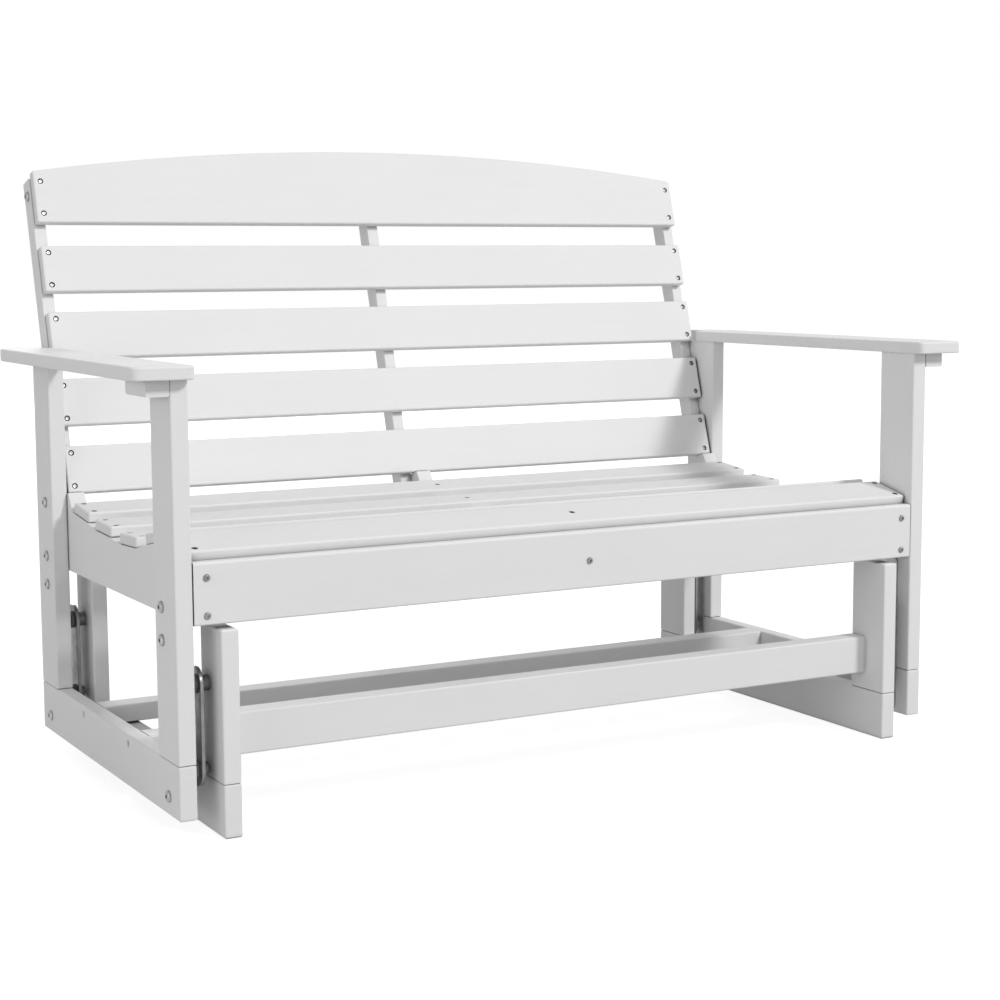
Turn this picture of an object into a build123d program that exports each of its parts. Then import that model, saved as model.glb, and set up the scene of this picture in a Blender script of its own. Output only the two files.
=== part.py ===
from build123d import *
import os
from math import cos, radians, sin

# Glider bench, millimetres, +Z up, front towards -Y, left is -X
# Heights start at the floor, Y is first counted from the front posts' front face
front_to_middle = 330.8

# Running and assembly clearances
shank_play = 0.05
pin_play = 0.05
axial_play = 0.4
head_play = 0.5
horn_play = 0.5
cut_margin = 1.0

# Swinging side frames
frame_inner_x = 554.4
frame_board = 23.0
front_post_y = (0.0, 73.7)
rear_post_y = (507.0, 580.5)
lower_rail_z = (26.7, 95.3)
post_top_z = 563.8
board_edge = 2.5
foot_groove = 0.9

# Armrests, notched round the back, and their front cleats
arm_width = 79.1
arm_overhang = 3.6
arm_notch_y = 552.0
arm_notch_depth = 17.6
arm_board = 17.0
arm_y = (-19.7, 617.0)
arm_front_corner = 14.0
arm_rear_flat = 7.1
arm_inner_corner = 8.0
arm_edge = 3.0
arm_lower_edge = 2.0
cleat_width = 29.7
cleat_y = (0.0, 73.7)
cleat_drop = 20.3

# Seat
apron_bottom_z = 265.7
apron_board = 23.0
apron_end_gap = 1.2
apron_lip_z = 343.4
apron_lip_gap = 1.2
apron_lip_round = 4.0
side_rail_board = 23.0
side_rail_end_y = 575.0
stile_seat_z = 305.0
centre_rail_x = (-4.0, 19.0)
rear_rail_y = (526.5, 549.5)
horn_tip_y = 501.4
horn_foot = (486.5, 356.0)
horn_root = (483.0, 351.3)
slat_board = 15.0
slat_end_gap = 1.0
slat_width = 68.0
slat_edge = 3.0
# Y and Z of each seat slat's rear top edge and its tilt, back to front
seat_slats = {
    "seat_slat_1": (478.9, 365.9, 5.9),
    "seat_slat_2": (382.9, 353.3, 2.3),
    "seat_slat_3": (279.4, 346.9, -2.0),
    "seat_slat_4": (175.8, 358.0, -11.0),
    "front_seat_slat": (79.0, 371.0, 13.2),
}

# Back
recline = 16.0
back_foot_y = 400.0
back_board = 16.0
back_end_gap = 2.1
back_slat_width = 68.6
back_first_start = 391.2
back_pitch = 98.4
back_slat_names = ("back_slat_5", "back_slat_4", "back_slat_3", "back_slat_2")
back_top_gap = 34.7
top_slat_end_width = 77.8
top_slat_crown_width = 117.4
stile_board = 18.0
stile_depth = 30.0
stile_rise = 70.4
stile_edge = 1.5
top_rail_rise = 25.3
top_rail_width = 44.0
top_rail_board = 24.0

# Crossbars between the swinging lower rails
crossbar_y = (192.0, 383.0)
crossbar_depth = 38.0
crossbar_z = (70.3, 95.3)

# Standing base
swing_gap = 31.4
base_board = 23.0
base_y = (-8.8, 579.8)
base_rail_top_z = 67.8
base_post_top_z = 259.7
base_front_post_y = (-8.8, 64.0)
base_rear_post_y = (508.3, 579.8)
stretcher_y = (31.2, 63.2)
stretcher_z = (93.1, 147.1)

# Swing links and pivots
pivot_y = {"front": 41.0, "rear": 548.0}
upper_pivot_z = 187.3
lower_pivot_z = 79.6
link_setback = 13.5
link_board = 5.0
link_radius = 22.0
link_edge = 0.8
pin_radius = 5.0
pin_head_radius = 9.0
pin_head = 5.0
pin_head_round = 1.5
pin_tail = 10.0
bush_radius = 8.0
bush_sleeve = 2.4
bush_flange_radius = 12.0
bush_flange = 4.0
boss_radius = 10.0
insert_radius = 7.0
insert_length = 18.0
plate_board = 3.0
plate_width = 36.0
plate_z = (33.0, 260.0)
plate_corner = 6.0
plate_middle_y = {"front": 44.0, "rear": 544.0}

# Fasteners
slat_screw_radius = 2.0
slat_screw_length = 33.0
slat_screw_head_radius = 3.8
slat_screw_head = 2.6
slat_screw_sink = 0.4
back_screw_head_radius = 2.7
back_screw_sink = 1.6
back_screw_play = 1.5
screw_socket_radius = 1.8
screw_socket = 1.3
screw_round = 0.6
frame_screw_radius = 2.4
frame_screw_length = 48.0
frame_screw_head_radius = 4.6
frame_screw_head = 3.2
button_radius = 4.4
button_height = 2.6
button_round = 2.2
long_screw_radius = 3.0
long_screw_length = 112.0
long_screw_head_radius = 6.0
long_screw_head = 4.0
long_screw_sink = 10.0
base_screw_length = 80.0
side_bolt_radius = 3.0
side_bolt_bite = 16.5
hanger_bolt_bite = 2.5
dome_radius = 7.5
dome_height = 4.0
dome_round = 3.2
# Socket of a domed head, as shares of the head's radius and height
dome_socket_width = 0.39
dome_socket_depth = 0.6
dowel_radius = 4.0
dowel_length = 40.0
dowel_in_arm = 11.0

# Fastener places
end_screw_inset = 11.8
apron_screw_inset = 17.8
back_screw_inset = 12.8
centre_screw_x = 3.0
slat_screw_reach = 24.0
back_screw_reach = 24.0
top_slat_screw_starts = (14.0, 62.0)
apron_screw_z = (277.5, 324.0)
apron_centre_screw_z = 303.0
crossbar_screw_z = 84.0
rear_rail_screw_z = (277.0, 294.0)
stile_screws = ((527.0, 325.0), (533.0, 348.0))
centre_rail_screw_z = 285.0
stretcher_screw_z = (106.0, 134.0)
side_bolts = ((48.0, 285.0), (538.0, 285.0), (537.0, 362.0))
hanger_bolts = ((48.0, 244.0), (38.0, 51.0), (538.0, 244.0), (542.0, 51.0))
post_screw_y = (13.0, 61.0, 520.5, 567.0)
base_screw_y = (6.0, 28.0, 522.0, 566.0)
arm_dowel_y = (18.0, 55.0, 519.0, 541.0)
cleat_screw_y = (18.0, 56.0)

# Sizes that follow from others
arm_inner_x = frame_inner_x - arm_overhang
arm_outer_x = arm_inner_x + arm_width
cleat_outer_x = frame_inner_x + frame_board + cleat_width
slat_half_length = frame_inner_x - slat_end_gap
back_half_length = frame_inner_x - back_end_gap
last_back_row = len(back_slat_names) - 1
top_slat_start = back_first_start + last_back_row * back_pitch + back_slat_width + back_top_gap
stile_top = top_slat_start + stile_rise
top_rail_start = top_slat_start + top_rail_rise
base_inner_x = frame_inner_x - swing_gap - base_board
link_outer_x = frame_inner_x - link_setback
link_inner_x = link_outer_x - link_board
side_bolt_length = frame_board + side_bolt_bite
hanger_bolt_length = frame_board + hanger_bolt_bite
end_screw_x = frame_inner_x - end_screw_inset
apron_screw_x = frame_inner_x - apron_screw_inset
back_screw_x = frame_inner_x - back_screw_inset

# Named pieces, in the order they are made
pieces = {}
SIDES = {"left": -1, "right": 1}
tilt_sin = sin(radians(recline))
tilt_cos = cos(radians(recline))
back_plane = Plane((0, back_foot_y, 0), x_dir=(1, 0, 0), z_dir=(0, -tilt_cos, tilt_sin))


def block(x, y, z):
    """Square board between pairs of X, Y and Z limits, in any order."""
    size = [abs(b - a) for a, b in (x, y, z)]
    middle = [(a + b) / 2 for a, b in (x, y, z)]
    return Pos(*middle) * Box(*size)


def board(x, y, z, axis, edge=board_edge):
    """Board whose long edges along one axis are rounded."""
    made = block(x, y, z)
    return fillet(made.edges().filter_by(axis), edge)


def rounded_board(x, y, z, edge=board_edge):
    """Board with every edge rounded."""
    made = block(x, y, z)
    return fillet(made.edges(), edge)


def footed_post(x, y, z, top_edge):
    """Post with rounded uprights, its foot set in so the joint below shows as a fine groove."""
    post = block(x, y, (z[0] + foot_groove, z[1]))
    eased = post.edges().filter_by(Axis.Z)
    if top_edge:
        eased = eased + post.edges().group_by(Axis.Z)[-1]
    inset = [(min(limits) + board_edge, max(limits) - board_edge) for limits in (x, y)]
    return fillet(eased, board_edge) + block(*inset, (z[0], z[0] + foot_groove))


def profile(points, x):
    """Board cut to a side outline of (y, z) points between two X limits."""
    face = make_face(Polyline(*points, close=True))
    low, high = sorted(x)
    return Pos(low, 0, 0) * extrude(Plane.YZ * face, high - low)


def rod(radius, start, end):
    """Round bar along the local Z axis between two heights."""
    return Pos(0, 0, (start + end) / 2) * Cylinder(radius, abs(end - start))


def facing(origin, outward):
    """Place whose local Z axis points out of the face a fastener enters."""
    return Plane(origin, z_dir=outward).location


def on_back(x, along, out, outward=(0, 0, 1)):
    """Place on the reclined back plane, facing an axis of that plane."""
    return back_plane.location * facing((x, along, out), outward)


def back_point(along, out):
    """Y and Z of a point on the reclined back."""
    return back_foot_y + along * tilt_sin - out * tilt_cos, along * tilt_cos + out * tilt_sin


def sunk_screw(radius, length, head_radius, head, sink=0.0):
    """Screw with a flat head sunk below the face it enters."""
    top = fillet(rod(head_radius, -sink - head, -sink).edges().group_by(Axis.Z)[-1], screw_round)
    socket = extrude(RegularPolygon(screw_socket_radius, 6), screw_socket)
    top = top - Pos(0, 0, -sink - screw_socket) * socket
    return top + rod(radius, -sink - head - length, -sink - head)


def sunk_hole(radius, length, head_radius, head, sink=0.0, play=head_play):
    """Counterbored hole for a sunk screw."""
    bore = rod(head_radius + play, -sink - head, cut_margin)
    return bore + rod(radius + shank_play, -sink - head - length - head_play, -sink - head)


def dome_bolt(radius, length, head_radius=dome_radius, height=dome_height, rounding=dome_round):
    """Bolt with a domed head standing on the face it enters."""
    head = fillet(rod(head_radius, 0, height).edges().group_by(Axis.Z)[-1], rounding)
    depth = height * dome_socket_depth
    socket = extrude(RegularPolygon(head_radius * dome_socket_width, 6), depth)
    head = head - Pos(0, 0, height - depth) * socket
    return head + rod(radius, -length, 0)


def dome_hole(radius, length):
    """Plain hole for a dome bolt."""
    return rod(radius + shank_play, -length - head_play, cut_margin)


def drill(names, places, hole):
    """Cut a hole at each place out of every named piece it reaches."""
    for place in places:
        tool = place * hole
        low, high = tool.bounding_box().min, tool.bounding_box().max
        for name in names:
            box = pieces[name].bounding_box()
            apart = low.X > box.max.X or high.X < box.min.X
            apart = apart or low.Y > box.max.Y or high.Y < box.min.Y
            apart = apart or low.Z > box.max.Z or high.Z < box.min.Z
            if not apart:
                pieces[name] = pieces[name] - tool


def group(name, places, shape):
    """Keep one node of equal separate solids."""
    pieces[name] = [place * shape for place in places]


def seat_frame(name):
    """Place of a seat slat: origin at its rear top edge, local Y rearwards along its top."""
    y, z, tilt = seat_slats[name]
    return Pos(0, y, z) * Rot(tilt, 0, 0)


def seat_underside(name):
    """Rear and front (y, z) points of a seat slat's underside."""
    ends = [seat_frame(name) * Pos(0, -along, -slat_board) for along in (0.0, slat_width)]
    return [(end.position.Y, end.position.Z) for end in ends]


def under_front_slat(y):
    """Height of the front slat's underside at one Y."""
    (rear_y, rear_z), (tip_y, tip_z) = seat_underside("front_seat_slat")
    return rear_z + (y - rear_y) * (tip_z - rear_z) / (tip_y - rear_y)


def rail_top():
    """Seat rail top from the horn to the apron, seating every slat flat."""
    points = [horn_foot, horn_root]
    for name in seat_slats:
        points += seat_underside(name)
    points.pop()
    return points + [(apron_board, under_front_slat(apron_board))]


def horn_top():
    """Front and rear top corners of the horn, just under the lowest back slat."""
    rear_y, rear_z = back_point(back_first_start, -back_board)
    slope = -tilt_sin / tilt_cos
    tip_z = rear_z + (horn_tip_y - rear_y) * slope
    return [(rear_y + horn_play * slope, rear_z - horn_play), (horn_tip_y, tip_z - horn_play)]


# Standing base
base_x = (base_inner_x, base_inner_x + base_board)
for side, sign in SIDES.items():
    x = (sign * base_x[0], sign * base_x[1])
    pieces[f"base_{side}_rail"] = rounded_board(x, base_y, (0.0, base_rail_top_z))
    for end, limits in (("front", base_front_post_y), ("rear", base_rear_post_y)):
        height = (base_rail_top_z, base_post_top_z)
        pieces[f"base_{end}_{side}_post"] = footed_post(x, limits, height, True)
pieces["base_stretcher"] = board((-base_inner_x, base_inner_x), stretcher_y, stretcher_z, Axis.X)

# Swinging side frames
frame_x = (frame_inner_x, frame_inner_x + frame_board)
for side, sign in SIDES.items():
    x = (sign * frame_x[0], sign * frame_x[1])
    pieces[f"{side}_lower_rail"] = rounded_board(x, (front_post_y[0], rear_post_y[1]), lower_rail_z)
    for end, limits in (("front", front_post_y), ("rear", rear_post_y)):
        height = (lower_rail_z[1], post_top_z)
        pieces[f"{end}_{side}_post"] = footed_post(x, limits, height, False)

# Armrests with rounded corners, and the cleats under their front ends
arm_z = (post_top_z, post_top_z + arm_board)
arm_rear_corner = arm_width - arm_rear_flat
notch_x = (arm_inner_x - cut_margin, arm_inner_x + arm_notch_depth)
notch_z = (arm_z[0] - cut_margin, arm_z[1] + cut_margin)
arm_notch = block(notch_x, (arm_notch_y, arm_y[1] + cut_margin), notch_z)
for side, sign in SIDES.items():
    middle = ((arm_outer_x + arm_inner_x) / 2, (arm_y[0] + arm_y[1]) / 2)
    plan = Pos(*middle) * Rectangle(arm_width, arm_y[1] - arm_y[0])
    plan = fillet(plan.vertices().group_by(Axis.X)[-1].sort_by(Axis.Y)[0], arm_front_corner)
    plan = fillet(plan.vertices().group_by(Axis.X)[-1].sort_by(Axis.Y)[-1], arm_rear_corner)
    plan = fillet(plan.vertices().group_by(Axis.X)[0].sort_by(Axis.Y)[0], arm_inner_corner)
    arm = Pos(0, 0, arm_z[0]) * extrude(plan, arm_board)
    arm = fillet(arm.edges().group_by(Axis.Z)[-1], arm_edge)
    arm = fillet(arm.edges().group_by(Axis.Z)[0], arm_lower_edge) - arm_notch
    cleat_x = (frame_x[1], cleat_outer_x)
    cleat = board(cleat_x, cleat_y, (post_top_z - cleat_drop, post_top_z), Axis.Y)
    if sign < 0:
        arm = mirror(arm, Plane.YZ)
        cleat = mirror(cleat, Plane.YZ)
    pieces[f"{side}_armrest"] = arm
    pieces[f"{side}_arm_cleat"] = cleat

# Seat rails under the slats
stile_front_low = back_foot_y + back_board / tilt_cos + stile_seat_z * tilt_sin / tilt_cos
side_rail_x = (frame_inner_x - side_rail_board, frame_inner_x)
side_outline = [(apron_board, apron_bottom_z), (side_rail_end_y, apron_bottom_z)]
side_outline += [(side_rail_end_y, stile_seat_z), (stile_front_low, stile_seat_z)]
side_outline += horn_top() + rail_top()
for side, sign in SIDES.items():
    x = (sign * side_rail_x[0], sign * side_rail_x[1])
    pieces[f"{side}_seat_rail"] = profile(side_outline, x)
horn_y, horn_z = horn_top()[0]
horn_back_z = horn_z - (rear_rail_y[1] - horn_y) * tilt_sin / tilt_cos
centre_outline = [(apron_board, apron_bottom_z), (rear_rail_y[0], apron_bottom_z)]
centre_outline += [(rear_rail_y[0], stile_seat_z), (rear_rail_y[1], stile_seat_z)]
centre_outline += [(rear_rail_y[1], horn_back_z)]
centre_outline += horn_top() + rail_top()
pieces["centre_seat_rail"] = profile(centre_outline, centre_rail_x)
rear_rail_x = (-side_rail_x[0], side_rail_x[0])
pieces["rear_seat_rail"] = board(rear_rail_x, rear_rail_y, (apron_bottom_z, stile_seat_z), Axis.X)

# Apron with a rebate that seats the front slat behind a rounded lip
apron_x = frame_inner_x - apron_end_gap
lip_y = seat_underside("front_seat_slat")[1][0] - apron_lip_gap
apron_outline = [(0.0, apron_bottom_z), (apron_board, apron_bottom_z)]
apron_outline += [(y, under_front_slat(y)) for y in (apron_board, lip_y)]
apron_outline += [(lip_y, apron_lip_z), (0.0, apron_lip_z)]
apron = profile(apron_outline, (-apron_x, apron_x))
apron = fillet(apron.edges().filter_by(Axis.X).group_by(Axis.Z)[0], board_edge)
lip_edge = apron.edges().filter_by(Axis.X).group_by(Axis.Z)[-1].sort_by(Axis.Y)[0]
pieces["apron"] = fillet(lip_edge, apron_lip_round)

# Seat slats
slat_x = (-slat_half_length, slat_half_length)
seat_slat = rounded_board(slat_x, (-slat_width, 0.0), (-slat_board, 0.0), slat_edge)
for name in seat_slats:
    pieces[name] = seat_frame(name) * seat_slat

# Back stiles, slats and hidden top rail, drawn on the reclined back plane
stile_out = -back_board - stile_depth
stile_foot = [(stile_seat_z - out * tilt_sin) / tilt_cos for out in (-back_board, stile_out)]


def stile(x, top):
    """Back stile between two X limits, its foot cut level on the seat rail."""
    foot_front = back_point(stile_foot[0], -back_board)
    foot_rear = back_point(stile_foot[1], stile_out)
    made = profile([foot_front, foot_rear, back_point(top, stile_out), back_point(top, -back_board)], x)
    return fillet(made.edges().filter_by(lambda edge: edge.length > stile_foot[0]), stile_edge)


stile_x = (frame_inner_x - stile_board, frame_inner_x)
pieces["left_stile"] = stile((-stile_x[1], -stile_x[0]), stile_top)
pieces["right_stile"] = stile(stile_x, stile_top)
pieces["centre_stile"] = stile((centre_rail_x[0] - stile_board, centre_rail_x[0]), top_rail_start)
back_x = (-back_half_length, back_half_length)
for row, name in enumerate(back_slat_names):
    start = back_first_start + row * back_pitch
    slat = rounded_board(back_x, (start, start + back_slat_width), (-back_board, 0.0), slat_edge)
    pieces[name] = back_plane.location * slat
top_end = top_slat_start + top_slat_end_width
crown_top = top_slat_start + top_slat_crown_width
crown = [(-back_half_length, top_end), (0.0, crown_top), (back_half_length, top_end)]
feet = [(back_half_length, top_slat_start), (-back_half_length, top_slat_start)]
top_face = make_face(Polyline(crown[2], *feet, crown[0]) + ThreePointArc(*crown))
top_slat = Pos(0, 0, -back_board) * extrude(top_face, back_board)
pieces["top_back_slat"] = back_plane.location * fillet(top_slat.edges(), slat_edge)
top_rail_out = (-back_board - top_rail_board, -back_board)
top_rail_along = (top_rail_start, top_rail_start + top_rail_width)
top_rail = board((-stile_x[0], stile_x[0]), top_rail_along, top_rail_out, Axis.X)
pieces["top_back_rail"] = back_plane.location * top_rail

# Crossbars between the swinging lower rails
for end, middle in zip(("front", "rear"), crossbar_y):
    limits = (middle - crossbar_depth / 2, middle + crossbar_depth / 2)
    pieces[f"{end}_crossbar"] = board((-frame_inner_x, frame_inner_x), limits, crossbar_z, Axis.X)

# Swing links with flanged bushes in both ends
pivot_z = (lower_pivot_z, upper_pivot_z)
bush_hole = rod(bush_radius + pin_play, -cut_margin, link_board + cut_margin)
for end, y in pivot_y.items():
    for side, sign in SIDES.items():
        outline = Rot(0, 0, 90) * SlotCenterToCenter(upper_pivot_z - lower_pivot_z, 2 * link_radius)
        outline = Pos(y, (lower_pivot_z + upper_pivot_z) / 2) * outline
        plate = Pos(link_inner_x, 0, 0) * extrude(Plane.YZ * outline, link_board)
        plate = fillet(plate.faces().filter_by(Axis.X).edges(), link_edge)
        bushes = []
        for z in pivot_z:
            plate = plate - facing((link_inner_x, y, z), (1, 0, 0)) * bush_hole
            for face_x, out in ((link_outer_x, 1), (link_inner_x, -1)):
                bush = rod(bush_flange_radius, 0.0, bush_flange) + rod(bush_radius, -bush_sleeve, 0.0)
                bush = bush - rod(pin_radius + pin_play, -bush_sleeve - cut_margin, bush_flange + cut_margin)
                bushes.append(facing((face_x, y, z), (out, 0, 0)) * bush)
        if sign < 0:
            plate = mirror(plate, Plane.YZ)
            bushes = [mirror(bush, Plane.YZ) for bush in bushes]
        pieces[f"{end}_{side}_link"] = plate
        pieces[f"{end}_{side}_bushes"] = bushes

# Pivot hardware: inserts and bolts in the base posts, plates and pins on the swinging frames
upper_head_x = link_outer_x + bush_flange + axial_play
lower_head_x = link_inner_x - bush_flange - axial_play
insert_shoulder = link_inner_x - bush_flange - axial_play - base_x[1]
plate_face_x = frame_inner_x - plate_board
boss_length = plate_face_x - link_outer_x - bush_flange - axial_play
insert = rod(boss_radius, 0.0, insert_shoulder) + rod(insert_radius, -insert_length, 0.0)
insert = insert - rod(pin_radius + pin_play, -insert_length - cut_margin, insert_shoulder + cut_margin)
insert_hole = rod(insert_radius + shank_play, -insert_length - head_play, cut_margin)
upper_reach = upper_head_x - base_x[1] + insert_length
pivot_head = fillet(rod(pin_head_radius, 0.0, pin_head).edges().group_by(Axis.Z)[-1], pin_head_round)
upper_bolt = pivot_head + rod(pin_radius, -upper_reach, 0.0)
lower_reach = plate_face_x - lower_head_x + plate_board + pin_tail
lower_pin = pivot_head + rod(pin_radius, -lower_reach, 0.0)
pin_hole = rod(pin_radius + pin_play, -lower_reach - head_play, cut_margin)
inserts = []
upper_bolts = []
plates = []
lower_pins = []
pin_places = []
for end, y in pivot_y.items():
    for side, sign in SIDES.items():
        outward = (sign, 0, 0)
        inward = (-sign, 0, 0)
        inserts.append(facing((sign * base_x[1], y, upper_pivot_z), outward) * insert)
        upper_bolts.append(facing((sign * upper_head_x, y, upper_pivot_z), outward) * upper_bolt)
        lower_pins.append(facing((sign * lower_head_x, y, lower_pivot_z), inward) * lower_pin)
        pin_places.append(facing((sign * lower_head_x, y, lower_pivot_z), inward))
        centre = (plate_middle_y[end], (plate_z[0] + plate_z[1]) / 2)
        outline = Pos(*centre) * RectangleRounded(plate_width, plate_z[1] - plate_z[0], plate_corner)
        low_x = min(sign * plate_face_x, sign * frame_inner_x)
        plate = Pos(low_x, 0, 0) * extrude(Plane.YZ * outline, plate_board)
        boss = rod(boss_radius, 0.0, boss_length)
        plate = plate + facing((sign * plate_face_x, y, lower_pivot_z), inward) * boss
        plate = plate -facing((sign * lower_head_x, y, lower_pivot_z), inward) * pin_hole
        plates.append(plate)
pieces["pivot_inserts"] = inserts
pieces["upper_pivot_bolts"] = upper_bolts
pieces["hanger_plates"] = plates
pieces["lower_pivot_pins"] = lower_pins
base_posts = [name for name in pieces if name.startswith("base_") and name.endswith("_post")]
insert_places = []
for y in pivot_y.values():
    insert_places += [facing((s * base_x[1], y, upper_pivot_z), (s, 0, 0)) for s in (-1, 1)]
drill(base_posts, insert_places, insert_hole)
drill(["left_lower_rail", "right_lower_rail"], pin_places, pin_hole)

# Base screws: posts from below, stretcher through the front posts
long_spec = (long_screw_radius, long_screw_length, long_screw_head_radius, long_screw_head, long_screw_sink)
base_spec = (long_screw_radius, base_screw_length, long_screw_head_radius, long_screw_head, long_screw_sink)
base_middle_x = base_inner_x + base_board / 2
base_places = [facing((s * base_middle_x, y, 0), (0, 0, -1)) for y in base_screw_y for s in (-1, 1)]
group("base_post_screws", base_places, sunk_screw(*base_spec))
drill(base_posts + ["base_left_rail", "base_right_rail"], base_places, sunk_hole(*base_spec))
frame_spec = (frame_screw_radius, frame_screw_length, frame_screw_head_radius, frame_screw_head)
stretcher_middle_y = (stretcher_y[0] + stretcher_y[1]) / 2
stretcher_places = []
for z in stretcher_screw_z:
    stretcher_places += [facing((s * base_x[1], stretcher_middle_y, z), (s, 0, 0)) for s in (-1, 1)]
group("stretcher_screws", stretcher_places, sunk_screw(*frame_spec))
drill(base_posts + ["base_stretcher"], stretcher_places, sunk_hole(*frame_spec))

# Swinging frame: long screws up through the lower rails, dowels into the armrests
posts = ["front_left_post", "front_right_post", "rear_left_post", "rear_right_post"]
lower_rails = ["left_lower_rail", "right_lower_rail"]
frame_middle_x = frame_inner_x + frame_board / 2
post_places = []
for y in post_screw_y:
    post_places += [facing((s * frame_middle_x, y, lower_rail_z[0]), (0, 0, -1)) for s in (-1, 1)]
group("post_screws", post_places, sunk_screw(*long_spec))
drill(posts + lower_rails, post_places, sunk_hole(*long_spec))
dowel_places = [facing((s * frame_middle_x, y, post_top_z), (0, 0, 1)) for y in arm_dowel_y for s in (-1, 1)]
group("arm_dowels", dowel_places, rod(dowel_radius, dowel_in_arm - dowel_length, dowel_in_arm))
dowel_hole = rod(dowel_radius + shank_play, dowel_in_arm - dowel_length - head_play, dowel_in_arm + head_play)
drill(posts + ["left_armrest", "right_armrest"], dowel_places, dowel_hole)

# Hanger bolts through the side frames into the tapped plates
hanger_places = [facing((s * frame_x[1], y, z), (s, 0, 0)) for y, z in hanger_bolts for s in (-1, 1)]
group("hanger_bolts", hanger_places, dome_bolt(side_bolt_radius, hanger_bolt_length))
drill(posts + lower_rails, hanger_places, dome_hole(side_bolt_radius, hanger_bolt_length))
hanger_hole = dome_hole(side_bolt_radius, hanger_bolt_length + plate_board)
drilled = []
for plate in pieces["hanger_plates"]:
    for place in hanger_places:
        plate = plate - place * hanger_hole
    drilled.append(plate)
pieces["hanger_plates"] = drilled

# Side bolts: seat rails and stiles to the posts, stiles to the top rail
side_places = [facing((s * frame_x[1], y, z), (s, 0, 0)) for y, z in side_bolts for s in (-1, 1)]
top_y, top_z = back_point(top_rail_start + top_rail_width / 2, -back_board - top_rail_board / 2)
side_places += [facing((s * frame_inner_x, top_y, top_z), (s, 0, 0)) for s in (-1, 1)]
group("side_bolts", side_places, dome_bolt(side_bolt_radius, side_bolt_length))
bolted = posts + ["left_seat_rail", "right_seat_rail", "left_stile", "right_stile", "top_back_rail"]
drill(bolted, side_places, dome_hole(side_bolt_radius, side_bolt_length))

# Apron screws with button heads
apron_places = [facing((s * apron_screw_x, 0, z), (0, -1, 0)) for z in apron_screw_z for s in (-1, 1)]
apron_places.append(facing((centre_screw_x, 0, apron_centre_screw_z), (0, -1, 0)))
button_screw = dome_bolt(frame_screw_radius, frame_screw_length, button_radius, button_height, button_round)
group("apron_screws", apron_places, button_screw)
seat_rails = ["left_seat_rail", "right_seat_rail", "centre_seat_rail", "rear_seat_rail"]
drill(seat_rails + ["apron"], apron_places, dome_hole(frame_screw_radius, frame_screw_length))

# Frame screws with sunk heads: crossbar ends, rear rail and centre rail
frame_places = []
for y in crossbar_y:
    frame_places += [facing((s * frame_x[1], y, crossbar_screw_z), (s, 0, 0)) for s in (-1, 1)]
rear_rail_middle_y = (rear_rail_y[0] + rear_rail_y[1]) / 2
for z in rear_rail_screw_z:
    frame_places += [facing((s * frame_inner_x, rear_rail_middle_y, z), (s, 0, 0)) for s in (-1, 1)]
centre_rail_middle_x = (centre_rail_x[0] + centre_rail_x[1]) / 2
frame_places.append(facing((centre_rail_middle_x, rear_rail_y[1], centre_rail_screw_z), (0, 1, 0)))
group("frame_screws", frame_places, sunk_screw(*frame_spec))
drill(seat_rails + lower_rails + ["front_crossbar", "rear_crossbar"], frame_places, sunk_hole(*frame_spec))

# Seat screws: slats to rails, cleats to armrests, centre stile to the centre rail
slat_spec = (slat_screw_radius, slat_screw_length, slat_screw_head_radius, slat_screw_head, slat_screw_sink)
slat_places = []
slat_middle = -slat_width / 2
for name in seat_slats:
    frame = seat_frame(name)
    for along in (slat_middle - slat_screw_reach, slat_middle + slat_screw_reach):
        slat_places += [frame * Pos(s * end_screw_x, along, 0) for s in (-1, 1)]
    slat_places.append(frame * Pos(centre_screw_x, slat_middle, 0))
cleat_middle_x = (frame_x[1] + cleat_outer_x) / 2
cleat_bottom_z = post_top_z - cleat_drop
cleat_places = []
for y in cleat_screw_y:
    cleat_places += [facing((s * cleat_middle_x, y, cleat_bottom_z), (0, 0, -1)) for s in (-1, 1)]
stile_places = [facing((centre_rail_x[0] - stile_board, y, z), (-1, 0, 0)) for y, z in stile_screws]
group("seat_screws", slat_places + cleat_places + stile_places, sunk_screw(*slat_spec))
slat_hole = sunk_hole(*slat_spec)
drill(list(seat_slats) + seat_rails, slat_places, slat_hole)
drill(["left_arm_cleat", "right_arm_cleat", "left_armrest", "right_armrest"], cleat_places, slat_hole)
drill(["centre_stile", "centre_seat_rail"], stile_places, slat_hole)

# Back screws: slats to the outer stiles
back_along = []
for row in range(len(back_slat_names)):
    middle = back_first_start + row * back_pitch + back_slat_width / 2
    back_along += [middle - back_screw_reach, middle + back_screw_reach]
back_along += [top_slat_start + start for start in top_slat_screw_starts]
back_places = [on_back(s * back_screw_x, along, 0) for along in back_along for s in (-1, 1)]
back_spec = (slat_screw_radius, slat_screw_length, back_screw_head_radius, slat_screw_head, back_screw_sink)
group("back_screws", back_places, sunk_screw(*back_spec))
backs = list(back_slat_names) + ["top_back_slat", "left_stile", "right_stile", "top_back_rail"]
drill(backs, back_places, sunk_hole(*back_spec, back_screw_play))

# Write every node, moved so the bench's bounding box is centred
os.makedirs("parts", exist_ok=True)
for name, made in pieces.items():
    solids = made if isinstance(made, list) else [made]
    moved = []
    for shape in solids:
        moved += (Pos(0, -front_to_middle, 0) * shape).solids()
    export_step(moved[0] if len(moved) == 1 else Compound(children=moved), f"parts/{name}.step")
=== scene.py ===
"""Looks for the glider bench: white boards, steel swing links, bolts and screws, in a plain white studio.

Lengths are in metres, angles in degrees and lamp powers in watts.
"""

import logging
import math
from dataclasses import dataclass, field
from enum import Enum
from typing import Iterable, Sequence

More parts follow.
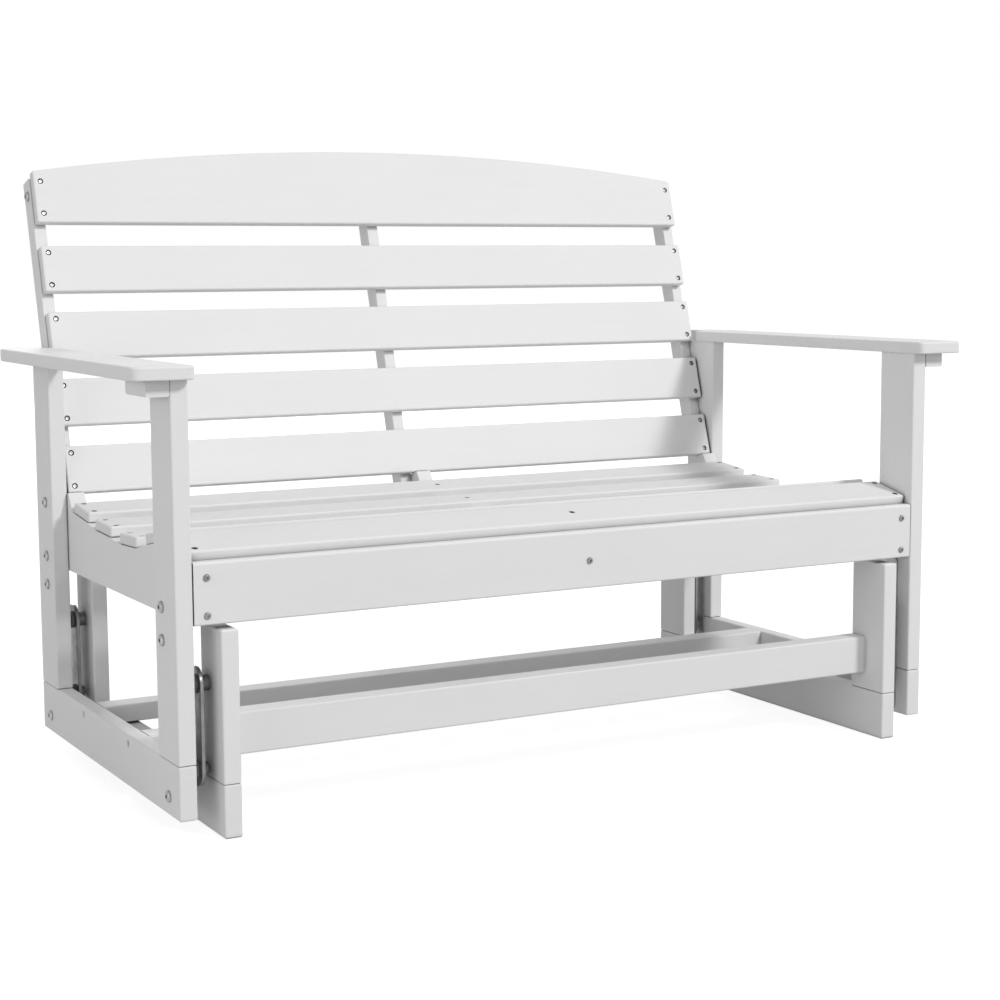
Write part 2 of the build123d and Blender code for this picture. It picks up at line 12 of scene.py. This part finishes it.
import bpy
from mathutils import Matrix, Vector

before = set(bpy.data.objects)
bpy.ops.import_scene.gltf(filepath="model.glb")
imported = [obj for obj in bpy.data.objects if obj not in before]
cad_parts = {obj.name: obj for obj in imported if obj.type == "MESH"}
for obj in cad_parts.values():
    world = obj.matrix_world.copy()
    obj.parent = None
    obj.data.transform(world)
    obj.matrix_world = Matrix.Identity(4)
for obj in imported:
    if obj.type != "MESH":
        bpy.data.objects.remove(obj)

log = logging.getLogger("glider_bench")

Colour = tuple[float, float, float]
Rgba = tuple[float, float, float, float]
Point = tuple[float, float, float]
Span = tuple[float, float]
Names = Sequence[str]
Outfit = Sequence[tuple["Finish", Names]]
Node = bpy.types.Node
Socket = bpy.types.NodeSocket

# Spans and directions that several finishes use
WHOLE: Span = (0.0, 1.0)
NOISE_SPAN: Span = (0.3, 0.7)
EVEN: Point = (1.0, 1.0, 1.0)
ALONG_GRAIN = 0.035
BACK_RECLINE = 16.0


class Grain(Enum):
    """The way a board runs, which its fine grain follows."""

    ACROSS = (ALONG_GRAIN, 1.0, 1.0)
    DEEP = (1.0, ALONG_GRAIN, 1.0)
    UPRIGHT = (1.0, 1.0, ALONG_GRAIN)


class CutEnd(Enum):
    """The axis of a board's sawn ends, by the way the board runs."""

    ACROSS = (1.0, 0.0, 0.0)
    DEEP = (0.0, 1.0, 0.0)
    UPRIGHT = (0.0, 0.0, 1.0)


def solid(colour: Colour) -> Rgba:
    """Give a colour full alpha."""
    return (*colour, 1.0)


def grey(level: float) -> Rgba:
    """Give one neutral colour with full alpha."""
    return solid((level, level, level))


def leaning_forward(recline: float) -> Point:
    """Give the forward normal of a board that leans back by an angle."""
    return (0.0, -math.cos(math.radians(recline)), math.sin(math.radians(recline)))


class NodeSheet:
    """A node tree with short calls for adding and joining nodes."""

    def __init__(self, tree: bpy.types.NodeTree) -> None:
        """Keep the tree that the calls work on."""
        self.tree = tree

    def add(self, kind: str, **settings: object) -> Node:
        """Add one node.

        Args:
            kind: Blender's node type name.
            settings: Properties to set on the node.

        Returns:
            The new node.
        """
        node = self.tree.nodes.new(kind)
        for name, value in settings.items():
            setattr(node, name, value)
        return node

    def join(self, source: Socket, target: Socket) -> None:
        """Link an output socket to an input socket."""
        self.tree.links.new(source, target)

    def feed(self, value: object, target: Socket) -> None:
        """Link a socket, or set a plain value, on an input socket.

        Args:
            value: An output socket, or a value that suits the input.
            target: The input socket.
        """
        if isinstance(value, Socket):
            self.join(value, target)
        else:
            target.default_value = value

    def noise(self, place: Socket, scale: float, detail: float) -> Socket:
        """Add a noise texture.

        Args:
            place: Where the pattern is read.
            scale: How many turns the pattern makes in a metre.
            detail: Octaves of the noise.

        Returns:
            The noise value.
        """
        node = self.add("ShaderNodeTexNoise")
        self.join(place, node.inputs["Vector"])
        self.feed(scale, node.inputs["Scale"])
        self.feed(detail, node.inputs["Detail"])
        return node.outputs["Fac"]

    def maths(self, operation: str, first: object, second: object) -> Socket:
        """Add a maths node.

        Args:
            operation: Blender's name of the operation.
            first: Left value or socket.
            second: Right value or socket.

        Returns:
            The result.
        """
        node = self.add("ShaderNodeMath", operation=operation)
        self.feed(first, node.inputs[0])
        self.feed(second, node.inputs[1])
        return node.outputs[0]

    def scaled(self, place: Socket, factors: object) -> Socket:
        """Scale a place along each axis.

        Args:
            place: The place.
            factors: A factor for each axis, or a socket.

        Returns:
            The scaled place.
        """
        node = self.add("ShaderNodeVectorMath", operation="MULTIPLY")
        self.feed(place, node.inputs[0])
        self.feed(factors, node.inputs[1])
        return node.outputs[0]

    def alignment(self, normal: Socket, axis: object) -> Socket:
        """Measure how far a normal lies along an axis, to either side.

        Args:
            normal: The surface normal.
            axis: A unit vector, or a socket.

        Returns:
            A value that is one where the normal lies along the axis.
        """
        node = self.add("ShaderNodeVectorMath", operation="DOT_PRODUCT")
        self.feed(normal, node.inputs[0])
        self.feed(axis, node.inputs[1])
        return self.maths("ABSOLUTE", node.outputs["Value"], 0.0)

    def stretch(self, value: Socket, onto: Span, span: Span = NOISE_SPAN) -> Socket:
        """Map a value from one span onto another, held at both ends.

        Args:
            value: The value to map.
            onto: Results at the span's ends.
            span: Ends of the value.

        Returns:
            The mapped value.
        """
        node = self.add("ShaderNodeMapRange")
        self.join(value, node.inputs["Value"])
        for name, end in zip(("From Min", "From Max", "To Min", "To Max"), (*span, *onto)):
            self.feed(end, node.inputs[name])
        return node.outputs["Result"]

    def mix(self, kind: str, share: object, first: object, second: object) -> Socket:
        """Mix two colours or two values.

        Args:
            kind: Blender's name of the data type.
            share: Share of the second one.
            first: Value or socket.
            second: Value or socket.

        Returns:
            The mixture.
        """
        node = self.add("ShaderNodeMix", data_type=kind)
        self.feed(share, node.inputs["Factor"])
        self.feed(first, node.inputs["A"])
        self.feed(second, node.inputs["B"])
        return node.outputs["Result"]

    def blend(self, share: object, first: object, second: object) -> Socket:
        """Mix two colours by the share of the second one."""
        return self.mix("RGBA", share, first, second)

    def bump(self, height: Socket, relief: float, strength: float) -> Socket:
        """Add a bump.

        Args:
            height: The height of the surface.
            relief: Depth of the relief.
            strength: Share of the relief that shows.

        Returns:
            The bumped normal.
        """
        node = self.add("ShaderNodeBump")
        self.feed(strength, node.inputs["Strength"])
        self.feed(relief, node.inputs["Distance"])
        self.join(height, node.inputs["Height"])
        return node.outputs["Normal"]


@dataclass
class SharedEffects:
    """The node groups that several finishes use, each built once."""

    groups: dict[str, bpy.types.NodeTree] = field(default_factory=dict)
    # Board grain
    fine_scale: float = 900.0
    broad_scale: float = 140.0
    drift_scale: float = 4.5
    pore_scale: float = 650.0
    sawn_span: Span = (0.92, 0.99)
    broad_span: Span = (0.35, 0.65)
    drift_tone: Span = (0.0, 0.55)
    broad_tone: Span = (0.0, 0.3)
    pore_tone: Span = (0.1, 0.6)
    fine_roughness: Span = (-0.05, 0.05)
    sawn_roughness: float = 0.18
    fine_relief: float = 0.55
    broad_relief: float = 0.45
    # Metal wear
    line_scale: float = 1800.0
    cloud_scale: float = 90.0
    cloud_span: Span = (0.35, 0.75)
    cloud_roughness: Span = (-0.06, 0.1)
    line_roughness: Span = (-0.04, 0.04)

    def group(self, name: str, inputs: Sequence[tuple[str, str]]) -> tuple[NodeSheet, dict, dict]:
        """Start a node group that puts out colour, roughness and height.

        Args:
            name: Name of the group.
            inputs: Name and socket type of each input.

        Returns:
            The group's sheet, and its inputs and outputs by name on the inside.
        """
        tree = bpy.data.node_groups.new(name, "ShaderNodeTree")
        for label, kind in inputs:
            tree.interface.new_socket(label, in_out="INPUT", socket_type=f"NodeSocket{kind}")
        for label, kind in (("Colour", "Color"), ("Roughness", "Float"), ("Height", "Float")):
            tree.interface.new_socket(label, in_out="OUTPUT", socket_type=f"NodeSocket{kind}")
        sheet = NodeSheet(tree)
        entry = sheet.add("NodeGroupInput")
        leave = sheet.add("NodeGroupOutput")
        self.groups[name] = tree
        return sheet, dict(entry.outputs.items()), dict(leave.inputs.items())

    def board_grain(self) -> bpy.types.NodeTree:
        """Build fine lengthwise grain, slow tone drift and sawn ends of a pale board.

        Returns:
            The node group.
        """
        if "board_grain" in self.groups:
            return self.groups["board_grain"]
        inputs = (("Place", "Vector"), ("Run", "Vector"), ("End Axis", "Vector"), ("Face", "Vector"),
                  ("Colour", "Color"), ("Shade", "Color"), ("Roughness", "Float"))
        sheet, given, result = self.group("board_grain", inputs)
        along = sheet.scaled(given["Place"], given["Run"])
        fine = sheet.noise(along, self.fine_scale, detail=3.0)
        broad = sheet.noise(along, self.broad_scale, detail=2.0)
        drift = sheet.noise(given["Place"], self.drift_scale, detail=2.0)
        pores = sheet.noise(given["Place"], self.pore_scale, detail=4.0)
        sawn = sheet.stretch(sheet.alignment(given["Face"], given["End Axis"]), WHOLE, self.sawn_span)
        tone = sheet.maths("ADD", sheet.stretch(drift, self.drift_tone),
                           sheet.stretch(broad, self.broad_tone, self.broad_span))
        tone = sheet.maths("ADD", tone, sheet.maths("MULTIPLY", sawn, sheet.stretch(pores, self.pore_tone)))
        sheet.join(sheet.blend(tone, given["Colour"], given["Shade"]), result["Colour"])
        rough = sheet.maths("ADD", given["Roughness"], sheet.stretch(fine, self.fine_roughness))
        rough = sheet.maths("ADD", rough, sheet.maths("MULTIPLY", sawn, self.sawn_roughness))
        sheet.join(rough, result["Roughness"])
        grain = sheet.maths("ADD", sheet.maths("MULTIPLY", fine, self.fine_relief),
                            sheet.maths("MULTIPLY", broad, self.broad_relief))
        sheet.join(sheet.mix("FLOAT", sawn, grain, pores), result["Height"])
        return self.groups["board_grain"]

    def metal_wear(self) -> bpy.types.NodeTree:
        """Build brush lines and cloudy plating of small steel pieces.

        Returns:
            The node group.
        """
        if "metal_wear" in self.groups:
            return self.groups["metal_wear"]
        inputs = (("Place", "Vector"), ("Run", "Vector"), ("Colour", "Color"), ("Shade", "Color"),
                  ("Roughness", "Float"))
        sheet, given, result = self.group("metal_wear", inputs)
        lines = sheet.noise(sheet.scaled(given["Place"], given["Run"]), self.line_scale, detail=2.0)
        cloud = sheet.noise(given["Place"], self.cloud_scale, detail=4.0)
        tone = sheet.stretch(cloud, WHOLE, self.cloud_span)
        sheet.join(sheet.blend(tone, given["Colour"], given["Shade"]), result["Colour"])
        rough = sheet.maths("ADD", given["Roughness"], sheet.stretch(cloud, self.cloud_roughness))
        rough = sheet.maths("ADD", rough, sheet.stretch(lines, self.line_roughness))
        sheet.join(rough, result["Roughness"])
        sheet.join(lines, result["Height"])
        return self.groups["metal_wear"]


EFFECTS = SharedEffects()


@dataclass(frozen=True)
class Finish:
    """A named finish, which each kind builds in its own way."""

    name: str

    def start(self) -> tuple[bpy.types.Material, NodeSheet, Node, Node]:
        """Start a material with its shader, output and coordinates.

        Returns:
            The material, its sheet, its Principled shader and its coordinates.
        """
        material = bpy.data.materials.new(self.name)
        material.use_nodes = True
        material.node_tree.nodes.clear()
        sheet = NodeSheet(material.node_tree)
        shader = sheet.add("ShaderNodeBsdfPrincipled")
        output = sheet.add("ShaderNodeOutputMaterial")
        sheet.join(shader.outputs["BSDF"], output.inputs["Surface"])
        return material, sheet, shader, sheet.add("ShaderNodeTexCoord")

    def material(self) -> bpy.types.Material:
        """Build the material, which each kind of finish does for itself."""
        raise NotImplementedError(self.name)


@dataclass(frozen=True)
class BoardFinish(Finish):
    """White satin board with a fine grain along its length, and painted shade in its joints, corners and
    crevices.
    """

    grain: Grain
    colour: Colour = (0.80, 0.80, 0.80)
    shade: Colour = (0.775, 0.775, 0.775)
    roughness: float = 0.6
    relief: float = 0.00008
    strength: float = 0.25
    ior: float = 1.45
    # Painted shade in joints, corners and crevices: its colour, reach, rays and the occlusion span that maps
    # onto it
    painted_nook_shade: Colour = (0.20, 0.20, 0.20)
    painted_nook_reach: float = 0.015
    painted_nook_rays: int = 6
    painted_nook_span: Span = (0.12, 0.66)

    def material(self) -> bpy.types.Material:
        """Build the material.

        Returns:
            The finished material.
        """
        material, sheet, shader, place = self.start()
        grain = sheet.add("ShaderNodeGroup", node_tree=EFFECTS.board_grain())
        sheet.join(place.outputs["Object"], grain.inputs["Place"])
        sheet.join(place.outputs["Normal"], grain.inputs["Face"])
        sheet.feed(self.grain.value, grain.inputs["Run"])
        sheet.feed(CutEnd[self.grain.name].value, grain.inputs["End Axis"])
        sheet.feed(solid(self.colour), grain.inputs["Colour"])
        sheet.feed(solid(self.shade), grain.inputs["Shade"])
        sheet.feed(self.roughness, grain.inputs["Roughness"])
        # Painted shade: a short-range ambient-occlusion mask darkens joints, corners and crevices towards
        # the dark grey
        nook = sheet.add("ShaderNodeAmbientOcclusion", samples=self.painted_nook_rays)
        sheet.feed(self.painted_nook_reach, nook.inputs["Distance"])
        unshaded = sheet.stretch(nook.outputs["AO"], WHOLE, self.painted_nook_span)
        tone = sheet.blend(unshaded, solid(self.painted_nook_shade), grain.outputs["Colour"])
        normal = sheet.bump(grain.outputs["Height"], self.relief, self.strength)
        sheet.join(tone, shader.inputs["Base Color"])
        sheet.join(grain.outputs["Roughness"], shader.inputs["Roughness"])
        sheet.join(normal, shader.inputs["Normal"])
        sheet.feed(self.ior, shader.inputs["IOR"])
        return material


@dataclass(frozen=True)
class SteelFinish(Finish):
    """Plated or brushed steel."""

    colour: Colour
    shade: Colour
    roughness: float
    run: Point = (1.0, 1.0, 0.05)
    relief: float = 0.00003
    strength: float = 0.25

    def worn(self, sheet: NodeSheet, place: Node) -> Node:
        """Place the shared wear of metal.

        Args:
            sheet: The node tree to add to.
            place: The material's coordinates.

        Returns:
            The group node.
        """
        wear = sheet.add("ShaderNodeGroup", node_tree=EFFECTS.metal_wear())
        sheet.join(place.outputs["Object"], wear.inputs["Place"])
        sheet.feed(self.run, wear.inputs["Run"])
        sheet.feed(solid(self.colour), wear.inputs["Colour"])
        sheet.feed(solid(self.shade), wear.inputs["Shade"])
        sheet.feed(self.roughness, wear.inputs["Roughness"])
        return wear

    def tone(self, sheet: NodeSheet, place: Node, wear: Node) -> Socket:
        """Give the colour of the steel, which is that of its wear."""
        return wear.outputs["Colour"]

    def material(self) -> bpy.types.Material:
        """Build the material, with a bump where the steel has relief.

        Returns:
            The finished material.
        """
        material, sheet, shader, place = self.start()
        wear = self.worn(sheet, place)
        sheet.join(self.tone(sheet, place, wear), shader.inputs["Base Color"])
        sheet.join(wear.outputs["Roughness"], shader.inputs["Roughness"])
        if self.relief > 0.0:
            normal = sheet.bump(wear.outputs["Height"], self.relief, self.strength)
            sheet.join(normal, shader.inputs["Normal"])
        sheet.feed(1.0, shader.inputs["Metallic"])
        return material


@dataclass(frozen=True)
class SunkScrewFinish(SteelFinish):
    """Smooth steel screw in a deep counterbore: a pale crown, with painted shade on the sides of the head
    around it.
    """

    run: Point = EVEN
    relief: float = 0.0
    axis: Point = leaning_forward(BACK_RECLINE)
    # Painted shade on the head's sides, standing for the shadowed gap around the head
    painted_side_shade: Colour = (0.05, 0.05, 0.052)
    crown_span: Span = (0.85, 0.97)

    def tone(self, sheet: NodeSheet, place: Node, wear: Node) -> Socket:
        """Give the colour of the steel, with painted shade away from the crown."""
        # Painted shade: faces turned away from the screw's axis take the dark colour
        crown = sheet.stretch(sheet.alignment(place.outputs["Normal"], self.axis), WHOLE, self.crown_span)
        return sheet.blend(crown, solid(self.painted_side_shade), wear.outputs["Colour"])


@dataclass(frozen=True)
class NylonFinish(Finish):
    """Moulded nylon with a fine matt texture."""

    colour: Colour
    shade: Colour
    roughness: Span = (0.39, 0.55)
    fine_scale: float = 1500.0
    cloud_scale: float = 120.0
    relief: float = 0.00005
    strength: float = 0.3

    def material(self) -> bpy.types.Material:
        """Build the material.

        Returns:
            The finished material.
        """
        material, sheet, shader, place = self.start()
        fine = sheet.noise(place.outputs["Object"], self.fine_scale, detail=3.0)
        cloud = sheet.noise(place.outputs["Object"], self.cloud_scale, detail=2.0)
        tone = sheet.blend(cloud, solid(self.colour), solid(self.shade))
        sheet.join(tone, shader.inputs["Base Color"])
        sheet.join(sheet.stretch(fine, self.roughness), shader.inputs["Roughness"])
        sheet.join(sheet.bump(fine, self.relief, self.strength), shader.inputs["Normal"])
        return material


@dataclass(frozen=True)
class DowelFinish(Finish):
    """Plain hardwood of the hidden dowels."""

    colour: Colour = (0.56, 0.40, 0.24)
    shade: Colour = (0.40, 0.26, 0.14)
    run: Point = (1.0, 1.0, 0.06)
    line_scale: float = 900.0
    roughness: Span = (0.5, 0.68)

    def material(self) -> bpy.types.Material:
        """Build the material.

        Returns:
            The finished material.
        """
        material, sheet, shader, place = self.start()
        lines = sheet.noise(sheet.scaled(place.outputs["Object"], self.run), self.line_scale, detail=4.0)
        tone = sheet.blend(lines, solid(self.colour), solid(self.shade))
        sheet.join(tone, shader.inputs["Base Color"])
        sheet.join(sheet.stretch(lines, self.roughness), shader.inputs["Roughness"])
        return material


ACROSS_BOARD = BoardFinish("white_board_across", Grain.ACROSS)
DEEP_BOARD = BoardFinish("white_board_deep", Grain.DEEP)
UPRIGHT_BOARD = BoardFinish("white_board_upright", Grain.UPRIGHT)
LINK_STEEL = SteelFinish("plated_link_steel", colour=(0.27, 0.27, 0.275), shade=(0.235, 0.235, 0.24),
                         roughness=0.36)
PLATE_STEEL = SteelFinish("galvanised_plate_steel", colour=(0.56, 0.57, 0.58), shade=(0.42, 0.43, 0.44),
                          roughness=0.42)
PIVOT_STEEL = SteelFinish("dark_pivot_steel", colour=(0.24, 0.24, 0.25), shade=(0.16, 0.16, 0.17),
                          roughness=0.38)
BOLT_STEEL = SteelFinish("stainless_bolt_steel", colour=(0.36, 0.36, 0.37), shade=(0.28, 0.28, 0.29),
                         roughness=0.34, run=EVEN)
SCREW_STEEL = SteelFinish("zinc_screw_steel", colour=(0.74, 0.74, 0.75), shade=(0.58, 0.58, 0.59),
                          roughness=0.3, run=EVEN)
BUTTON_STEEL = SteelFinish("dark_button_steel", colour=(0.27, 0.27, 0.28), shade=(0.20, 0.20, 0.21),
                           roughness=0.4, run=EVEN)
RAIL_SCREW_STEEL = SteelFinish("dull_rail_screw_steel", colour=(0.42, 0.42, 0.43), shade=(0.33, 0.33, 0.34),
                               roughness=0.5, run=EVEN)
SEAT_SCREW_STEEL = SteelFinish("dark_seat_screw_steel", colour=(0.10, 0.10, 0.11), shade=(0.07, 0.07, 0.075),
                               roughness=0.42, run=EVEN)
# Back screws: pale crowns with painted shade on their sides
BACK_SCREW_STEEL = SunkScrewFinish("sunk_back_screw_steel", colour=(0.52, 0.52, 0.53),
                                   shade=(0.40, 0.40, 0.41), roughness=0.38)
BUSH_NYLON = NylonFinish("grey_bush_nylon", colour=(0.20, 0.20, 0.203), shade=(0.27, 0.27, 0.273))
CAP_NYLON = NylonFinish("white_cap_nylon", colour=(0.78, 0.78, 0.78), shade=(0.76, 0.76, 0.76))
DOWEL_WOOD = DowelFinish("hardwood_dowel")


@dataclass
class Wardrobe:
    """Every material on the bench, made once and kept by name."""

    made: dict[str, bpy.types.Material] = field(default_factory=dict)

    def material(self, finish: Finish) -> bpy.types.Material:
        """Give a finish's material, building it the first time.

        Args:
            finish: The finish.

        Returns:
            Its material.
        """
        if finish.name not in self.made:
            self.made[finish.name] = finish.material()
        return self.made[finish.name]

    def dress(self, name: str, finish: Finish) -> None:
        """Give a CAD node one finish on all its slots.

        Args:
            name: Name of the node.
            finish: The finish to wear.
        """
        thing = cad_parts[name]
        material = self.material(finish)
        if not thing.material_slots:
            thing.data.materials.append(material)
        for slot in thing.material_slots:
            slot.material = material
        log.info("%s wears %s", name, material.name)


class Assembly:
    """A sub-assembly of CAD nodes that wear finishes."""

    def outfit(self) -> Outfit:
        """Say which nodes wear which finish, which each sub-assembly does for itself."""
        raise NotImplementedError(type(self).__name__)

    def dress(self, wardrobe: Wardrobe) -> None:
        """Put the finishes on.

        Args:
            wardrobe: Where the materials are kept.
        """
        for finish, names in self.outfit():
            for name in names:
                wardrobe.dress(name, finish)
        log.info("%s is dressed", type(self).__name__)


@dataclass
class StandingBase(Assembly):
    """The rails, posts and stretcher that stay on the floor."""

    rails: Names = ("base_left_rail", "base_right_rail")
    posts: Names = ("base_front_left_post", "base_front_right_post", "base_rear_left_post",
                    "base_rear_right_post")
    stretchers: Names = ("base_stretcher",)
    post_screws: Names = ("base_post_screws",)
    capped_screws: Names = ("stretcher_screws",)

    def outfit(self) -> Outfit:
        """Say which nodes wear which finish."""
        return ((DEEP_BOARD, self.rails), (UPRIGHT_BOARD, self.posts), (ACROSS_BOARD, self.stretchers),
                (SCREW_STEEL, self.post_screws), (CAP_NYLON, self.capped_screws))


@dataclass
class SwingGear(Assembly):
    """The four links with their bushes, pins, bolts, inserts and hanger plates."""

    corners: Names = ("front_left", "front_right", "rear_left", "rear_right")
    pivots: Names = ("pivot_inserts", "upper_pivot_bolts", "lower_pivot_pins")
    plates: Names = ("hanger_plates",)

    def outfit(self) -> Outfit:
        """Say which nodes wear which finish.

        Returns:
            Each finish with its nodes.
        """
        links = [f"{corner}_link" for corner in self.corners]
        bushes = [f"{corner}_bushes" for corner in self.corners]
        return ((LINK_STEEL, links), (BUSH_NYLON, bushes), (PIVOT_STEEL, self.pivots),
                (PLATE_STEEL, self.plates))


@dataclass
class SideFrames(Assembly):
    """The swinging side frames with armrests, cleats and crossbars."""

    uprights: Names = ("front_left_post", "front_right_post", "rear_left_post", "rear_right_post")
    runners: Names = ("left_lower_rail", "right_lower_rail", "left_armrest", "right_armrest",
                      "left_arm_cleat", "right_arm_cleat")
    crossbars: Names = ("front_crossbar", "rear_crossbar")
    bolts: Names = ("hanger_bolts", "side_bolts")
    screws: Names = ("post_screws",)
    dowels: Names = ("arm_dowels",)

    def outfit(self) -> Outfit:
        """Say which nodes wear which finish."""
        return ((UPRIGHT_BOARD, self.uprights), (DEEP_BOARD, self.runners), (ACROSS_BOARD, self.crossbars),
                (BOLT_STEEL, self.bolts), (SCREW_STEEL, self.screws), (DOWEL_WOOD, self.dowels))


@dataclass
class SeatDeck(Assembly):
    """The seat rails, apron and slats."""

    rails: Names = ("left_seat_rail", "right_seat_rail", "centre_seat_rail")
    boards: Names = ("rear_seat_rail", "apron", "seat_slat_1", "seat_slat_2", "seat_slat_3", "seat_slat_4",
                     "front_seat_slat")
    slat_screws: Names = ("seat_screws",)
    button_screws: Names = ("apron_screws",)
    rail_screws: Names = ("frame_screws",)

    def outfit(self) -> Outfit:
        """Say which nodes wear which finish."""
        return ((DEEP_BOARD, self.rails), (ACROSS_BOARD, self.boards), (SEAT_SCREW_STEEL, self.slat_screws),
                (BUTTON_STEEL, self.button_screws), (RAIL_SCREW_STEEL, self.rail_screws))


@dataclass
class ReclinedBack(Assembly):
    """The stiles, back slats and top rail."""

    stiles: Names = ("left_stile", "right_stile", "centre_stile")
    boards: Names = ("top_back_slat", "back_slat_2", "back_slat_3", "back_slat_4", "back_slat_5",
                     "top_back_rail")
    screws: Names = ("back_screws",)

    def outfit(self) -> Outfit:
        """Say which nodes wear which finish."""
        return ((UPRIGHT_BOARD, self.stiles), (ACROSS_BOARD, self.boards), (BACK_SCREW_STEEL, self.screws))


@dataclass(frozen=True)
class SoftBox:
    """One square studio lamp."""

    name: str
    place: Point
    aim: Point
    size: float
    power: float

    def light(self) -> bpy.types.Object:
        """Place the lamp.

        Returns:
            The lamp object.
        """
        lamp = bpy.data.lights.new(self.name, "AREA")
        lamp.size = self.size
        lamp.energy = self.power
        thing = bpy.data.objects.new(self.name, lamp)
        thing.location = self.place
        thing.rotation_euler = (Vector(self.aim) - Vector(self.place)).to_track_quat("-Z", "Y").to_euler()
        bpy.context.scene.collection.objects.link(thing)
        return thing


KEY_LAMP = SoftBox("key_softbox", place=(3.6, -7.4, 6.3), aim=(0.0, 0.0, 0.4), size=1.5, power=500.0)
FILL_LAMP = SoftBox("left_fill_softbox", place=(-3.8, -1.5, 0.8), aim=(0.2, 0.0, 0.25), size=2.0, power=23.0)
REAR_LAMP = SoftBox("rear_softbox", place=(2.2, 7.2, 1.9), aim=(0.0, 0.0, 0.4), size=2.2, power=110.0)


@dataclass
class Studio:
    """White floor, soft lamps, even sky light and the camera of the photograph."""

    lamps: Sequence[SoftBox] = (KEY_LAMP, FILL_LAMP, REAR_LAMP)
    sky: float = 0.52
    # Floor
    floor_size: float = 60.0
    floor_drop: float = 0.0006
    floor_tone: float = 0.5
    floor_glow: float = 0.8
    # Camera
    sensor: float = 36.0
    lens: float = 71.4329
    far_end: float = 200.0
    eye: Point = (-1.36458, -2.56759, 0.70256)
    turn: Point = (83.0868, 0.2901, -28.8705)

    def camera_share(self, sheet: NodeSheet) -> Socket:
        """Mask the rays that show the white background.

        Args:
            sheet: The node tree to add to.

        Returns:
            One for camera, glossy and transmission rays.
        """
        path = sheet.add("ShaderNodeLightPath")
        seen = sheet.maths("MAXIMUM", path.outputs["Is Camera Ray"], path.outputs["Is Glossy Ray"])
        return sheet.maths("MAXIMUM", seen, path.outputs["Is Transmission Ray"])

    def floor_material(self) -> bpy.types.Material:
        """Build the floor's finish, white to the camera and pale to the light it returns.

        Returns:
            The material.
        """
        material = bpy.data.materials.new("studio_floor_white")
        material.use_nodes = True
        material.node_tree.nodes.clear()
        sheet = NodeSheet(material.node_tree)
        matt = sheet.add("ShaderNodeBsdfDiffuse")
        sheet.feed(grey(self.floor_tone), matt.inputs["Color"])
        glow = sheet.add("ShaderNodeEmission")
        shown = sheet.maths("MULTIPLY", self.camera_share(sheet), self.floor_glow)
        sheet.feed(grey(1.0), glow.inputs["Color"])
        sheet.join(shown, glow.inputs["Strength"])
        both = sheet.add("ShaderNodeAddShader")
        sheet.join(matt.outputs[0], both.inputs[0])
        sheet.join(glow.outputs[0], both.inputs[1])
        output = sheet.add("ShaderNodeOutputMaterial")
        sheet.join(both.outputs[0], output.inputs["Surface"])
        return material

    def build_floor(self) -> bpy.types.Object:
        """Lay the floor a little under the soles.

        Returns:
            The floor object.
        """
        bpy.ops.object.select_all(action="DESELECT")
        bpy.ops.mesh.primitive_plane_add(size=self.floor_size, location=(0.0, 0.0, -self.floor_drop))
        floor = bpy.context.object
        floor.name = "studio_floor"
        bpy.ops.object.transform_apply(location=True, rotation=True, scale=True)
        floor.data.materials.append(self.floor_material())
        return floor

    def build_sky(self) -> None:
        """Set the even sky light, seen as white."""
        world = bpy.data.worlds.new("studio_sky")
        bpy.context.scene.world = world
        world.use_nodes = True
        world.node_tree.nodes.clear()
        sheet = NodeSheet(world.node_tree)
        back = sheet.add("ShaderNodeBackground")
        sheet.feed(grey(1.0), back.inputs["Color"])
        sheet.join(sheet.stretch(self.camera_share(sheet), (self.sky, 1.0), WHOLE), back.inputs["Strength"])
        output = sheet.add("ShaderNodeOutputWorld")
        sheet.join(back.outputs[0], output.inputs["Surface"])

    def build_camera(self) -> bpy.types.Object:
        """Stand the camera where the photograph was taken.

        Returns:
            The camera object.
        """
        camera = bpy.data.cameras.new("photo_camera")
        camera.sensor_width = self.sensor
        camera.lens = self.lens
        camera.clip_end = self.far_end
        thing = bpy.data.objects.new("photo_camera", camera)
        thing.location = self.eye
        thing.rotation_euler = [math.radians(angle) for angle in self.turn]
        bpy.context.scene.collection.objects.link(thing)
        bpy.context.scene.camera = thing
        return thing

    def build(self) -> None:
        """Set up floor, sky, lamps and camera."""
        self.build_floor()
        self.build_sky()
        for lamp in self.lamps:
            lamp.light()
        self.build_camera()
        bpy.context.scene.view_settings.view_transform = "Standard"


def main() -> None:
    """Dress every sub-assembly and set the studio."""
    logging.basicConfig(level=logging.INFO, format="%(name)s: %(message)s")
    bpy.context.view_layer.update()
    wardrobe = Wardrobe()
    for assembly in (StandingBase(), SwingGear(), SideFrames(), SeatDeck(), ReclinedBack()):
        assembly.dress(wardrobe)
    Studio().build()


if __name__ == "__main__":
    main()
